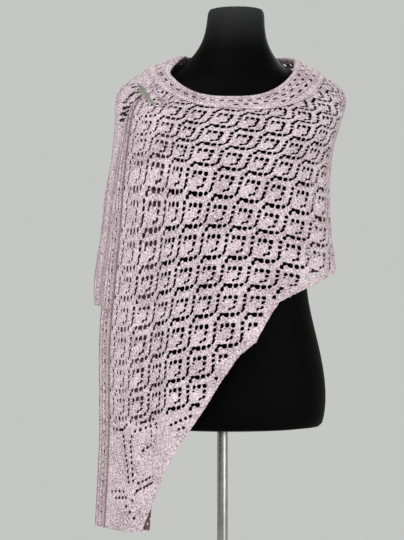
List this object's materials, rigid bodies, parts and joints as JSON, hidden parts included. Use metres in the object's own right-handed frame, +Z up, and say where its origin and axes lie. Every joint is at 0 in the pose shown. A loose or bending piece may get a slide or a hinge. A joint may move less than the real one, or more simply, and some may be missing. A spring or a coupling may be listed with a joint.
{
  "type": "knitted lace shawl on a dress form stand",
  "caption": "Asymmetric knitted lace shawl with a rolled collar and a leaf-shaped shawl pin, worn on a smooth limbless dress form that stands on a round base.",
  "frame": {"origin": "centre of the base plate's underside, on the floor", "axes": "+Z up along the pole; the wearer's front faces -Y; +X is the viewer's right as seen from the front"},
  "size_m": [0.4435, 0.31, 1.588],
  "materials": {
    "lace_wool": "matt hand-knitted pale pink wool, open leaf lace",
    "pin_silver": "hammered silver-coloured metal",
    "form_cover": "fine black jersey stretched over a smooth form",
    "stand_steel": "satin steel tube and plate"
  },
  "bodies": {
    "root": {"shawl_front": "lace_wool", "shawl_back": "lace_wool", "shawl_tail_fold": "lace_wool", "collar_front": "lace_wool", "collar_back": "lace_wool", "shawl_pin": "pin_silver", "form_torso": "form_cover", "stand_pole": "stand_steel", "stand_socket": "stand_steel", "stand_base": "stand_steel"}
  },
  "joints": []
}
